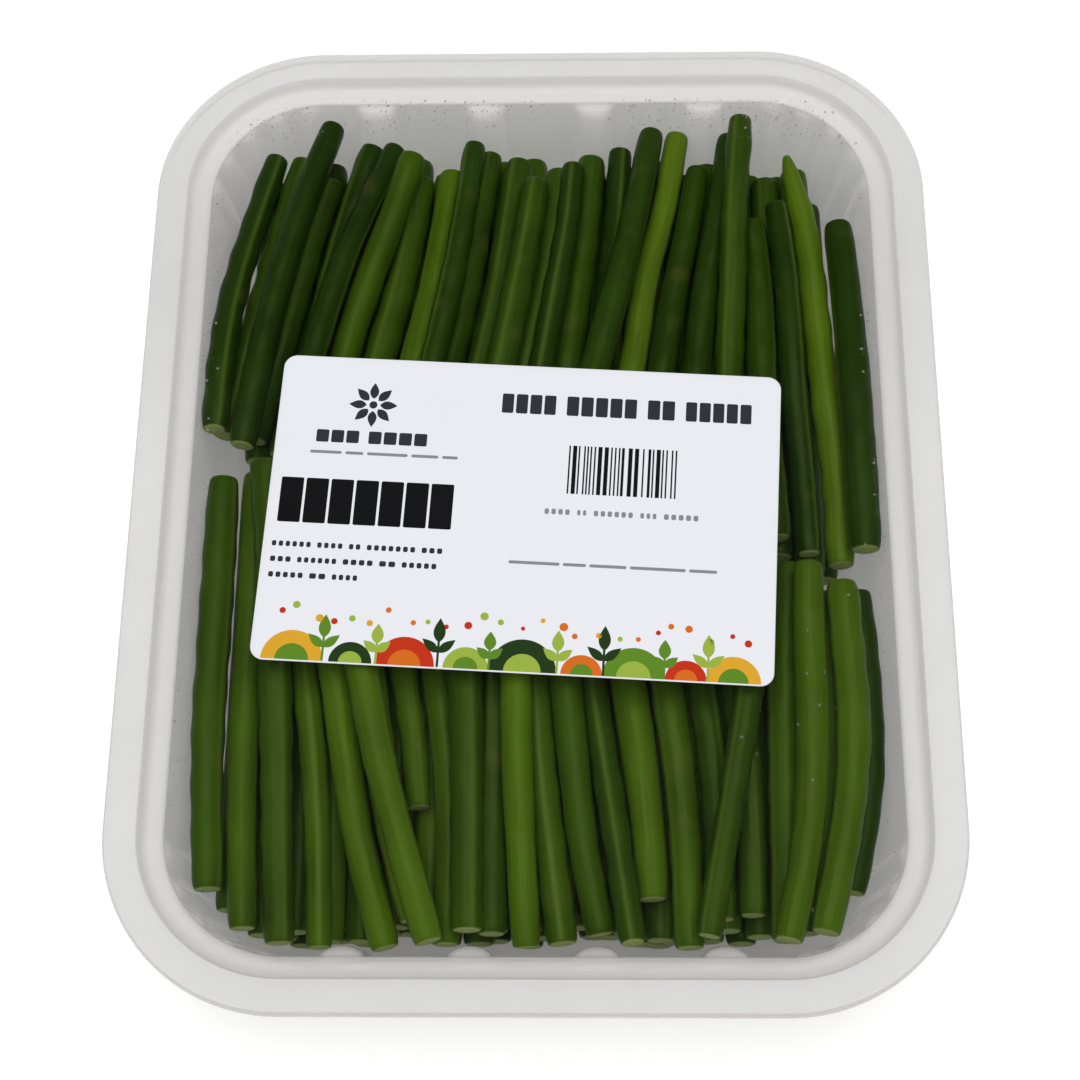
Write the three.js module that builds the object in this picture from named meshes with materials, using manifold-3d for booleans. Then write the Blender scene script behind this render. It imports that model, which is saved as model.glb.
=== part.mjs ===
// A sealed tray of topped and tailed fine green beans, in millimetres, +Z up.
// The origin is the middle of the surface that the tray stands on. The beans run along Y.
// A milky moulded tray holds two rows of beans, end to end. A clear film is sealed to the
// tray's rim, and a paper label is stuck on the film.
import * as THREE from "three";
import { mergeVertices } from "three/addons/utils/BufferGeometryUtils.js";
import Module from "manifold-3d";

const wasm = await Module();
wasm.setup();

// Tray
const TRAY_WIDTH = 178;
const TRAY_LENGTH = 227;
const TRAY_HEIGHT = 40;
const TRAY_CORNER = 38;
const WALL = 0.8;
const RIM_FACE = 7;
const LEDGE_DROP = 2.8;
const LEDGE_INSET = 11.4;
const SKIRT_DROP = 3.2;
const WALL_LEAN = 0.125;
const BASE_INSET = 16.2;
const FOOT_WIDTH = 5;
const PANEL_RISE = 1.2;

// Half-round flutes in the two short walls, and fine ribs round the four corners
const FLUTE_CENTRES = [-39, -13, 13, 39];
const FLUTE_WIDTH = 9;
const FLUTE_DEPTH = 3;
const FLUTE_TOP = 34;
const FLUTE_FOOT = 5.5;
const CORNER_RIBS = 5;
const CORNER_RIB_DEPTH = 0.7;

// Beans
const BEAN_RADIUS = 3.6;
const BEAN_SIDES = 7;
const CUT_SETBACK = 2;
const CUT_SHARE = 0.86;
const GAP = 0.3;

// Three lower layers lie side by side and are hidden, so each of their six rows is one solid
const BED_BEANS = 19;
const BED_LAYERS = 3;
const BED_PITCH = 7;
const BED_RISE = 6.9;
const BED_SIDES = 6;

// Where the inner ends of the two rows meet along Y, at places across the tray
const MEETING = [[-76, 14], [-48, 10], [0, 2], [48, -8], [62, -15], [76, -17]];
const MEETING_GAP = 1.5;

// Film and label
const FILM = 0.25;
const SEAL_GAP = 0.1;
const LABEL_WIDTH = 111;
const LABEL_LENGTH = 72;
const LABEL_CORNER = 3;
const LABEL_CENTRE = [-3.2, -6.4];
const LABEL_TURN = THREE.MathUtils.degToRad(-3.3);

const MATERIALS = {
  tray: new THREE.MeshStandardMaterial({ color: 0xd9dbda, roughness: 0.4, transparent: true, opacity: 0.6 }),
  film: new THREE.MeshStandardMaterial({ color: 0xf4f6f6, roughness: 0.1, transparent: true, opacity: 0.15 }),
  label: new THREE.MeshStandardMaterial({ color: 0xecedf1, roughness: 0.5 }),
  bean: new THREE.MeshStandardMaterial({ color: 0x466312, roughness: 0.4 }),
};

// A repeatable draw from 0 to 1 for piece number i and property number k.
function draw(i, k) {
  const s = Math.sin(i * 12.9898 + k * 78.233 + 4.1) * 43758.5453;
  return s - Math.floor(s);
}

function mix(a, b, t) {
  return a + (b - a) * t;
}

// The value at x of a line through the points [x, value], level beyond its ends.
function along(points, x) {
  if (x <= points[0][0]) return points[0][1];
  for (let i = 1; i < points.length; i++) {
    const [x0, v0] = points[i - 1];
    const [x1, v1] = points[i];
    if (x <= x1) return mix(v0, v1, (x - x0) / (x1 - x0));
  }
  return points[points.length - 1][1];
}

function geometryOf(points, triangles) {
  const g = new THREE.BufferGeometry();
  g.setAttribute("position", new THREE.Float32BufferAttribute(points.flat(), 3));
  g.setIndex(triangles);
  return g;
}

// Joins rings of equally many points into a closed skin. Each ring turns anticlockwise seen
// from the last ring's side, and the first and last rings are closed by flat fans.
function loft(rings) {
  const n = rings[0].length;
  const triangles = [];
  for (let r = 0; r + 1 < rings.length; r++) {
    for (let i = 0; i < n; i++) {
      const a = r * n + i;
      const b = r * n + ((i + 1) % n);
      triangles.push(a, b, b + n, a, b + n, a + n);
    }
  }
  const last = (rings.length - 1) * n;
  for (let i = 1; i + 1 < n; i++) {
    triangles.push(0, i + 1, i, last, last + i, last + i + 1);
  }
  return geometryOf(rings.flat(), triangles);
}

// Tray: one shell, drawn as loops of the rim's outline that step inwards and up or down.
// An outline point has its place on the rim's outer edge, the direction outwards, and how far
// a flute or a rib pushes the wall in there.
function trayOutline() {
  const points = [];
  const sideX = TRAY_WIDTH / 2 - TRAY_CORNER;
  const sideY = TRAY_LENGTH / 2 - TRAY_CORNER;
  const steps = 2 * CORNER_RIBS;
  const corner = (sx, sy, from) => {
    for (let i = 0; i <= steps; i++) {
      const a = from + (i / steps) * (Math.PI / 2);
      points.push({
        centre: [sx * sideX, sy * sideY],
        out: [Math.cos(a), Math.sin(a)],
        radius: TRAY_CORNER,
        push: i % 2 ? CORNER_RIB_DEPTH : 0,
      });
    }
  };
  const flutes = (sy) => {
    const centres = sy > 0 ? [...FLUTE_CENTRES].reverse() : FLUTE_CENTRES;
    for (const x of centres) {
      for (const [share, depth] of [[-0.5, 0], [-0.28, 0.8], [0, 1], [0.28, 0.8], [0.5, 0]]) {
        points.push({
          centre: [x - sy * share * FLUTE_WIDTH, sy * sideY],
          out: [0, sy],
          radius: TRAY_CORNER,
          push: depth * FLUTE_DEPTH,
        });
      }
    }
  };
  corner(1, 1, 0);
  flutes(1);
  corner(-1, 1, Math.PI / 2);
  corner(-1, -1, Math.PI);
  flutes(-1);
  corner(1, -1, 1.5 * Math.PI);
  return points;
}

// The inner face of the wall: how far it stands in from the rim's outer edge at height z.
function wallInset(z) {
  return LEDGE_INSET + WALL + (TRAY_HEIGHT - LEDGE_DROP - z) * WALL_LEAN;
}

function tray() {
  const outline = trayOutline();
  const ledge = TRAY_HEIGHT - LEDGE_DROP;
  const footInset = BASE_INSET + 3.3;
  const panelInset = footInset + FOOT_WIDTH;
  const outside = (z) => wallInset(z) - WALL;
  // Each station is [inset, height, share of the flutes and ribs that shows].
  const stations = [
    [panelInset + 1.5, PANEL_RISE, 0],
    [panelInset, 0, 0],
    [footInset, 0, 0],
    [BASE_INSET, 2.2, 0],
    [outside(FLUTE_FOOT), FLUTE_FOOT, 1],
    [outside(FLUTE_TOP), FLUTE_TOP, 1],
    [LEDGE_INSET, ledge - WALL - 0.8, 0],
    [RIM_FACE + 1.1 - 0.75 * WALL, ledge - WALL, 0],
    [RIM_FACE - 0.75 * WALL, TRAY_HEIGHT - WALL, 0],
    [WALL, TRAY_HEIGHT - WALL, 0],
    [WALL, TRAY_HEIGHT - SKIRT_DROP, 0],
    [0, TRAY_HEIGHT - SKIRT_DROP, 0],
    [0, TRAY_HEIGHT - 0.5, 0],
    [0.5, TRAY_HEIGHT, 0],
    [RIM_FACE, TRAY_HEIGHT, 0],
    [RIM_FACE + 1.1, ledge, 0],
    [LEDGE_INSET + WALL, ledge - 0.2, 0],
    [LEDGE_INSET + WALL + 0.1, FLUTE_TOP + 2, 0],
    [wallInset(FLUTE_TOP + 0.5), FLUTE_TOP + 0.5, 1],
    [wallInset(FLUTE_FOOT - 0.9), FLUTE_FOOT - 0.9, 1],
    [BASE_INSET + 2 * WALL, 2.4, 0],
    [footInset + 0.4, WALL, 0],
    [panelInset - 0.4, WALL, 0],
    [panelInset + 1.2, PANEL_RISE + WALL, 0],
  ];
  const rings = stations.map(([inset, z, share]) =>
    outline.map(({ centre, out, radius, push }) => {
      const r = radius - inset - share * push;
      return [centre[0] + out[0] * r, centre[1] + out[1] * r, z];
    }),
  );
  return loft(rings);
}

// Beans: a bean is a tube along a few points, rounded down to a smaller flat cut at each end.
function beanRings(points, radii, sides) {
  const p = points.map((q) => new THREE.Vector3(...q));
  const last = p.length - 1;
  const first = p[0].clone().sub(p[1]).normalize();
  const end = p[last].clone().sub(p[last - 1]).normalize();
  const path = [p[0].clone().addScaledVector(first, CUT_SETBACK), ...p];
  path.push(p[last].clone().addScaledVector(end, CUT_SETBACK));
  const sizes = [radii[0] * CUT_SHARE, ...radii, radii[last] * CUT_SHARE];
  return path.map((centre, i) => {
    const before = path[Math.max(i - 1, 0)];
    const after = path[Math.min(i + 1, path.length - 1)];
    const ahead = after.clone().sub(before).normalize();
    const side = new THREE.Vector3(0, 0, 1).cross(ahead).normalize();
    const up = ahead.clone().cross(side);
    return Array.from({ length: sides }, (_, k) => {
      const a = (k / sides) * 2 * Math.PI;
      const q = centre
        .clone()
        .addScaledVector(side, Math.cos(a) * sizes[i])
        .addScaledVector(up, Math.sin(a) * sizes[i]);
      return [q.x, q.y, q.z];
    });
  });
}

function solidOf(geometry) {
  const merged = mergeVertices(geometry, 1e-4);
  return new wasm.Manifold(
    new wasm.Mesh({
      numProp: 3,
      vertProperties: merged.attributes.position.array,
      triVerts: new Uint32Array(merged.index.array),
    }),
  );
}

function geometryFrom(solid) {
  const mesh = solid.getMesh();
  const g = new THREE.BufferGeometry();
  g.setAttribute("position", new THREE.BufferAttribute(mesh.vertProperties, 3));
  g.setIndex(new THREE.BufferAttribute(mesh.triVerts, 1));
  return g;
}

// How far along Y a bean at x may reach before it meets the rounded corner or the short wall.
function reachAt(x, z, radius) {
  const inset = wallInset(z);
  const corner = TRAY_CORNER - inset;
  const cornerX = TRAY_WIDTH / 2 - inset - corner;
  const cornerY = TRAY_LENGTH / 2 - inset - corner;
  const past = Math.max(0, Math.abs(x) + radius - cornerX);
  const room = corner - CORNER_RIB_DEPTH - GAP;
  const round = cornerY + Math.sqrt(Math.max(0, room * room - past * past));
  return Math.min(round, TRAY_LENGTH / 2 - inset - FLUTE_DEPTH - GAP);
}

// One row of one lower layer: beans side by side, each sunk a little into the next.
function bedRow(layer, side) {
  const z = PANEL_RISE + WALL + GAP + BEAN_RADIUS + layer * BED_RISE;
  let row = null;
  for (let j = 0; j < BED_BEANS; j++) {
    const id = 1000 + layer * 200 + (side > 0 ? 100 : 0) + j;
    const radius = BEAN_RADIUS + 0.15 * (draw(id, 0) - 0.5);
    const x = (j - (BED_BEANS - 1) / 2 + (layer % 2 ? 0.25 : -0.25)) * BED_PITCH;
    const outer = reachAt(x, z - radius, radius) - CUT_SETBACK - 7 * draw(id, 1) ** 2;
    const inner = side * along(MEETING, x) + MEETING_GAP + CUT_SETBACK + 3 * draw(id, 2);
    const points = [[x, side * inner, z], [x, side * outer, z]];
    const bean = solidOf(loft(beanRings(points, [radius, radius], BED_SIDES)));
    row = row ? row.add(bean) : bean;
  }
  return geometryFrom(row);
}

// Upper beans: laid down in two rows as they lie in the pack, and then settled until each
// rests on what is below it and none touches another, the tray or the film.
// Each bean: where its outer end stands along X and how far out along Y, where its inner end
// stands along X, how far it bends towards +X halfway, and 1 if it lies over its neighbours.
const UPPER_ROWS = [
  {
    side: 1,
    beans: [
      [-65, 94, -72, 2, 1], [-60, 92, -69, 0, 0], [-50, 101, -66, -2, 1], [-49, 86, -64, 0, 0],
      [-39, 96, -61, -1, 0], [-35, 93, -56, 0, 1], [-30, 89, -50, 0, 1], [-27, 86, -42, 0, 0],
      [-23, 88, -35, 1, 0], [-17, 93, -27, 0, 1], [-11, 93, -24, 0, 0], [-7, 91, -20, 1, 1],
      [-1, 82, -13, 0, 1], [4, 88, -8, 0, 0], [10, 86, -2, 0, 1], [15, 91, 2, 0, 0],
      [20, 94, 8, 0, 0], [26, 98, 6, 1, 1], [33, 100, 14, 2, 1], [37, 89, 22, 1, 0],
      [43, 98, 33, 0, 0], [47, 99, 43, 0, 1], [52, 74, 53, 0, 0], [54, 77, 62, 2, 1],
      [58, 92, 68, 3, 0], [70, 73, 71, -2, 1],
    ],
  },
  {
    side: -1,
    beans: [
      [-69, 86, -70, 0, 1], [-62, 94, -66, 0, 0], [-54, 98, -60, 0, 1], [-44, 98, -55, 1, 0],
      [-29, 98, -53, -3, 1], [-22, 98, -46, -3, 1], [-25, 92, -41, 0, 0], [-23, 68, -36, 0, 1],
      [-18, 98, -27, 1, 0], [-12, 97, -18, 1, 1], [-8, 95, -11, 0, 0], [-3, 98, -5, 0, 1],
      [6, 97, -1, 0, 0], [14, 97, 3, 0, 1], [22, 98, 9, -4, 1], [22, 88, 18, 0, 0],
      [31, 98, 26, 0, 1], [37, 92, 34, 0, 0], [36, 97, 48, 1, 1], [48, 91, 42, 0, 0],
      [50, 96, 55, 1, 0], [54, 98, 58, 3, 1], [62, 90, 62, 0, 0], [59, 97, 65, 4, 1],
      [64, 86, 70, 3, 0],
    ],
  },
];
const NODES_PER_BEAN = 6;
const SETTLE_STEPS = 1500;
const CLEARING_STEPS = 900;

function layUpperBeans() {
  const beans = [];
  for (const { side, beans: row } of UPPER_ROWS) {
    row.forEach(([outerX, outerY, innerX, bend, over], j) => {
      const id = (side > 0 ? 0 : 100) + j;
      const radius = BEAN_RADIUS * (0.88 + 0.24 * draw(id, 2));
      const outer = outerY - CUT_SETBACK;
      const inner = side * along(MEETING, innerX) + MEETING_GAP + CUT_SETBACK + 4 * draw(id, 3);
      const sway = 1.6 * (draw(id, 5) - 0.5);
      const points = [];
      const radii = [];
      for (let k = 0; k < NODES_PER_BEAN; k++) {
        const t = k / (NODES_PER_BEAN - 1);
        const bow = bend * Math.sin(Math.PI * t) + sway * Math.sin(2 * Math.PI * t);
        points.push([mix(innerX, outerX, t) + bow, side * mix(inner, outer, t), over ? 35.5 : 27.5]);
        radii.push(radius * (0.9 + 0.1 * Math.sin(Math.PI * Math.min(1, 0.15 + t))));
      }
      beans.push({ points, radii, home: points.map((p) => [...p]), side });
    });
  }
  for (const bean of beans) {
    bean.spans = [];
    for (let a = 0; a < NODES_PER_BEAN; a++) {
      for (let b = a + 1; b < NODES_PER_BEAN; b++) {
        bean.spans.push([a, b, Math.hypot(...bean.points[a].map((v, c) => v - bean.points[b][c]))]);
      }
    }
  }
  return beans;
}

// The nearest points of segments pq and rs, as shares along each.
function nearest(p, q, r, s) {
  const u = [q[0] - p[0], q[1] - p[1], q[2] - p[2]];
  const v = [s[0] - r[0], s[1] - r[1], s[2] - r[2]];
  const w = [p[0] - r[0], p[1] - r[1], p[2] - r[2]];
  const dot = (m, n) => m[0] * n[0] + m[1] * n[1] + m[2] * n[2];
  const a = dot(u, u), b = dot(u, v), c = dot(v, v), d = dot(u, w), e = dot(v, w);
  const clamp = (t) => Math.min(1, Math.max(0, t));
  const det = a * c - b * b;
  let i = det > 1e-9 ? clamp((b * e - c * d) / det) : 0.5;
  const j = clamp((b * i + e) / c);
  i = clamp((b * j - d) / a);
  return [i, j];
}

// Moves two beans apart wherever they are nearer than their radii and the gap.
function part(first, second, gap) {
  let worst = 0;
  for (let a = 0; a + 1 < NODES_PER_BEAN; a++) {
    const [p, q] = [first.points[a], first.points[a + 1]];
    for (let b = 0; b + 1 < NODES_PER_BEAN; b++) {
      const [r, s] = [second.points[b], second.points[b + 1]];
      const reach = 10 + gap;
      if (Math.min(p[1], q[1]) - Math.max(r[1], s[1]) > reach) continue;
      if (Math.min(r[1], s[1]) - Math.max(p[1], q[1]) > reach) continue;
      const [i, j] = nearest(p, q, r, s);
      const d = [0, 1, 2].map((c) => mix(p[c], q[c], i) - mix(r[c], s[c], j));
      const far = Math.hypot(...d) || 1e-6;
      const want =
        mix(first.radii[a], first.radii[a + 1], i) + mix(second.radii[b], second.radii[b + 1], j) + gap;
      const miss = want - far;
      if (miss <= 0) continue;
      worst = Math.max(worst, miss);
      const share = (1 - i) ** 2 + i ** 2 + (1 - j) ** 2 + j ** 2;
      const move = (0.7 * miss) / (share * far);
      for (let c = 0; c < 3; c++) {
        p[c] += (1 - i) * move * d[c];
        q[c] += i * move * d[c];
        r[c] -= (1 - j) * move * d[c];
        s[c] -= j * move * d[c];
      }
    }
  }
  return worst;
}

// Keeps a point of a bean inside the tray, above the lower layers and under the film.
function contain(p, radius, gap, floor) {
  const stand = radius + gap;
  p[2] = Math.max(p[2], floor + stand);
  p[2] = Math.min(p[2], TRAY_HEIGHT - 0.4 - stand);
  const inset = Math.max(wallInset(p[2] - radius), LEDGE_INSET + WALL + 0.2);
  const hx = TRAY_WIDTH / 2 - inset;
  const hy = TRAY_LENGTH / 2 - inset;
  for (const x of FLUTE_CENTRES) {
    const round = (FLUTE_WIDTH ** 2 / 4 + FLUTE_DEPTH ** 2) / (2 * FLUTE_DEPTH);
    const y = Math.sign(p[1]) * (hy + round - FLUTE_DEPTH);
    const dx = p[0] - x;
    const dy = p[1] - y;
    const far = Math.hypot(dx, dy);
    if (far < round + stand) {
      p[0] += (dx / far) * (round + stand - far);
      p[1] += (dy / far) * (round + stand - far);
    }
  }
  const corner = TRAY_CORNER - inset;
  const ax = Math.abs(p[0]) - (hx - corner);
  const ay = Math.abs(p[1]) - (hy - corner);
  if (ax > 0 && ay > 0) {
    const far = Math.hypot(ax, ay);
    const room = corner - CORNER_RIB_DEPTH - stand;
    if (far > room) {
      p[0] -= Math.sign(p[0]) * ax * (1 - room / far);
      p[1] -= Math.sign(p[1]) * ay * (1 - room / far);
    }
  } else {
    p[0] = Math.max(-hx + stand, Math.min(hx - stand, p[0]));
    p[1] = Math.max(-hy + stand, Math.min(hy - stand, p[1]));
  }
}

function settle(beans) {
  const floor = PANEL_RISE + WALL + GAP + BEAN_RADIUS + (BED_LAYERS - 1) * BED_RISE + BEAN_RADIUS + 0.1;
  const steps = SETTLE_STEPS + CLEARING_STEPS;
  let worst = 0;
  for (let step = 0; step < steps; step++) {
    const clearing = step >= SETTLE_STEPS;
    const gap = clearing ? GAP + 0.05 : GAP;
    for (const bean of beans) {
      bean.points.forEach((p, k) => {
        if (clearing) return;
        p[2] -= 0.035;
        p[0] += 0.012 * (bean.home[k][0] - p[0]);
        p[1] += 0.012 * (bean.home[k][1] - p[1]);
      });
      for (const [a, b, length] of bean.spans) {
        const [p, q] = [bean.points[a], bean.points[b]];
        const d = [q[0] - p[0], q[1] - p[1], q[2] - p[2]];
        const far = Math.hypot(...d);
        const pull = ((b === a + 1 ? 0.5 : 0.12) * (far - length)) / far;
        for (let c = 0; c < 3; c++) {
          p[c] += pull * d[c];
          q[c] -= pull * d[c];
        }
      }
    }
    worst = 0;
    for (let i = 0; i < beans.length; i++) {
      for (let j = i + 1; j < beans.length; j++) {
        const near = Math.abs(beans[i].points[2][0] - beans[j].points[2][0]) < 45;
        if (near) worst = Math.max(worst, part(beans[i], beans[j], gap));
      }
    }
    for (const bean of beans) bean.points.forEach((p, k) => contain(p, bean.radii[k], gap, floor));
  }
  return worst;
}

// Film and label: flat sheets with round corners.
function sheet(width, length, corner, thickness, curveSegments) {
  const shape = new THREE.Shape();
  const x = width / 2 - corner;
  const y = length / 2 - corner;
  shape.absarc(x, y, corner, 0, Math.PI / 2);
  shape.absarc(-x, y, corner, Math.PI / 2, Math.PI);
  shape.absarc(-x, -y, corner, Math.PI, 1.5 * Math.PI);
  shape.absarc(x, -y, corner, 1.5 * Math.PI, 2 * Math.PI);
  return new THREE.ExtrudeGeometry(shape, { depth: thickness, bevelEnabled: false, curveSegments });
}

const pack = new THREE.Group();

function add(name, geometry, material) {
  const mesh = new THREE.Mesh(geometry, material);
  mesh.name = name;
  pack.add(mesh);
  return mesh;
}

add("tray", tray(), MATERIALS.tray);

for (let layer = 0; layer < BED_LAYERS; layer++) {
  add(`bed_far_${layer + 1}`, bedRow(layer, 1), MATERIALS.bean);
  add(`bed_near_${layer + 1}`, bedRow(layer, -1), MATERIALS.bean);
}

const upperBeans = layUpperBeans();
settle(upperBeans);
upperBeans.forEach(({ points, radii, side }, i) => {
  const row = side > 0 ? "far" : "near";
  const number = side > 0 ? i + 1 : i + 1 - UPPER_ROWS[0].beans.length;
  const rings = beanRings(points, radii, BEAN_SIDES);
  add(`bean_${row}_${String(number).padStart(2, "0")}`, loft(rings), MATERIALS.bean);
});

const film = add("film", sheet(TRAY_WIDTH - 1, TRAY_LENGTH - 1, TRAY_CORNER - 0.5, FILM, 6), MATERIALS.film);
film.position.z = TRAY_HEIGHT + SEAL_GAP;

const label = add("label", sheet(LABEL_WIDTH, LABEL_LENGTH, LABEL_CORNER, FILM, 2), MATERIALS.label);
label.position.set(...LABEL_CENTRE, TRAY_HEIGHT + FILM + 2 * SEAL_GAP);
label.rotation.z = LABEL_TURN;

export default pack;
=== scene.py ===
import math
import random

import bpy
import numpy as np
from mathutils import Matrix, Vector, noise


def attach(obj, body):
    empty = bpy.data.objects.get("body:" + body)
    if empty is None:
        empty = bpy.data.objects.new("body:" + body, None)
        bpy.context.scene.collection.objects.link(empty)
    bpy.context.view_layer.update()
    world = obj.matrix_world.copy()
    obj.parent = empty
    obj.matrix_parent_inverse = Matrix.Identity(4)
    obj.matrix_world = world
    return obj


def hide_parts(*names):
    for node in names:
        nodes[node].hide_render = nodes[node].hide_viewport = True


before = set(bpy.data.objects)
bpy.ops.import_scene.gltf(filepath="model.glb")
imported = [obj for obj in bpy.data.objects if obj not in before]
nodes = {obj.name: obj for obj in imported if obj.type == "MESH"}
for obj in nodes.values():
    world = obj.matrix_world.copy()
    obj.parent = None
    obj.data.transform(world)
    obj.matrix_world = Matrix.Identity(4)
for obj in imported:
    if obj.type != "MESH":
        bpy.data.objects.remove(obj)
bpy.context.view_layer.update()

# Tray
# The tray is moulded from milky polypropylene sheet. Its flat rim carries the film, a step
# below it stiffens the mouth, half-round flutes stiffen the short walls, and fine ribs the
# corners. The base stands on a flat band round a raised panel.
MM = 0.001
TRAY_WIDTH = 178
TRAY_LENGTH = 227
TRAY_HEIGHT = 40
TRAY_CORNER = 38
WALL = 0.8
RIM_FACE = 7
LEDGE_DROP = 2.8
LEDGE_INSET = 11.4
SKIRT_DROP = 3.2
WALL_LEAN = 0.125
BASE_INSET = 16.2
FOOT_INSET = BASE_INSET + 3.3
PANEL_INSET = FOOT_INSET + 5
PANEL_RISE = 1.2
FLUTE_CENTRES = (-39, -13, 13, 39)
FLUTE_WIDTH = 9
FLUTE_DEPTH = 3
FLUTE_TOP = 34
FLUTE_FOOT = 5.5
CORNER_RIBS = 5
CORNER_RIB_DEPTH = 1.0


def add_node(tree, kind, inputs=None, **settings):
    node = tree.nodes.new(kind)
    for name, value in settings.items():
        setattr(node, name, value)
    for name, value in (inputs or {}).items():
        if isinstance(value, bpy.types.NodeSocket):
            tree.links.new(value, node.inputs[name])
        else:
            node.inputs[name].default_value = value
    return node


def maths(tree, operation, *values, clamp=False):
    inputs = dict(enumerate(values))
    return add_node(tree, "ShaderNodeMath", inputs, operation=operation, use_clamp=clamp).outputs[0]


def grain_group():
    """Soft clouding and a fine surface grain, for moulded plastic, film, paper and ink."""
    group = bpy.data.node_groups.new("surface grain", "ShaderNodeTree")
    for name, start in (
        ("Cloud Scale", 40.0),
        ("Cloud Detail", 2.0),
        ("Grain Scale", 900.0),
        ("Contrast", 0.1),
    ):
        group.interface.new_socket(name, in_out="INPUT", socket_type="NodeSocketFloat").default_value = start
    for name in ("Shade", "Roughness", "Height"):
        group.interface.new_socket(name, in_out="OUTPUT", socket_type="NodeSocketFloat")
    given = group.nodes.new("NodeGroupInput").outputs
    coords = group.nodes.new("ShaderNodeTexCoord").outputs["Object"]
    cloud = add_node(
        group,
        "ShaderNodeTexNoise",
        {"Vector": coords, "Scale": given["Cloud Scale"], "Detail": given["Cloud Detail"]},
    ).outputs["Fac"]
    grain = add_node(
        group, "ShaderNodeTexNoise", {"Vector": coords, "Scale": given["Grain Scale"], "Detail": 1.0}
    ).outputs["Fac"]
    swing = maths(group, "MULTIPLY", maths(group, "SUBTRACT", cloud, 0.5), given["Contrast"])
    result = group.nodes.new("NodeGroupOutput").inputs
    group.links.new(maths(group, "ADD", 1.0, swing), result["Shade"])
    group.links.new(maths(group, "ADD", 0.5, maths(group, "MULTIPLY", swing, 2.0)), result["Roughness"])
    group.links.new(grain, result["Height"])
    return group


GRAIN = grain_group()


def grained(
    name, colour, roughness, alpha=1.0, gloss=0.5, cloud=40, detail=2, grain=900, contrast=0.1, bump=0.1
):
    """A material whose colour, gloss and surface follow the shared grain."""
    material = bpy.data.materials.new(name)
    material.use_nodes = True
    tree = material.node_tree
    shader = tree.nodes["Principled BSDF"]
    effect = add_node(tree, "ShaderNodeGroup", node_tree=GRAIN)
    effect.inputs["Cloud Scale"].default_value = cloud
    effect.inputs["Cloud Detail"].default_value = detail
    effect.inputs["Grain Scale"].default_value = grain
    effect.inputs["Contrast"].default_value = contrast
    shade = effect.outputs["Shade"]
    tint = add_node(
        tree, "ShaderNodeVectorMath", {0: tuple(colour), 1: shade}, operation="MULTIPLY"
    ).outputs[0]
    tree.links.new(tint, shader.inputs["Base Color"])
    rough = maths(tree, "MULTIPLY", effect.outputs["Roughness"], 2 * roughness, clamp=True)
    tree.links.new(rough, shader.inputs["Roughness"])
    if bump:
        relief = add_node(
            tree,
            "ShaderNodeBump",
            {"Strength": bump, "Distance": 0.1 * MM, "Height": effect.outputs["Height"]},
        )
        tree.links.new(relief.outputs["Normal"], shader.inputs["Normal"])
    shader.inputs["Alpha"].default_value = alpha
    shader.inputs["Specular IOR Level"].default_value = gloss
    return material


def tray_outline():
    """Points round the rim: where a corner is centred, the way out, and how far a rib or flute pushes in."""
    points = []
    side_x = TRAY_WIDTH / 2 - TRAY_CORNER
    side_y = TRAY_LENGTH / 2 - TRAY_CORNER

    def corner(sx, sy, start):
        steps = CORNER_RIBS * 10
        for i in range(steps + 1):
            share = i / steps
            a = start + share * math.pi / 2
            push = CORNER_RIB_DEPTH * abs(math.sin(share * CORNER_RIBS * math.pi)) ** 3
            points.append((sx * side_x, sy * side_y, math.cos(a), math.sin(a), push))

    def short_wall(sy):
        steps = 128
        for i in range(1, steps):
            x = sy * side_x * (1 - 2 * i / steps)
            off = min(abs(x - c) for c in FLUTE_CENTRES) / (FLUTE_WIDTH / 2)
            push = FLUTE_DEPTH * math.sqrt(max(0.0, 1 - off * off)) if off < 1 else 0.0
            points.append((x, sy * side_y, 0, sy, push))

    def long_wall(sx):
        steps = 24
        for i in range(1, steps):
            y = -sx * side_y * (1 - 2 * i / steps)
            points.append((sx * side_x, y, sx, 0, 0.0))

    corner(1, 1, 0)
    short_wall(1)
    corner(-1, 1, math.pi / 2)
    long_wall(-1)
    corner(-1, -1, math.pi)
    short_wall(-1)
    corner(1, -1, 1.5 * math.pi)
    long_wall(1)
    return points


def wall_inset(z):
    """How far the wall's inner face stands in from the rim's edge at height z."""
    return LEDGE_INSET + WALL + (TRAY_HEIGHT - LEDGE_DROP - z) * WALL_LEAN


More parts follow.
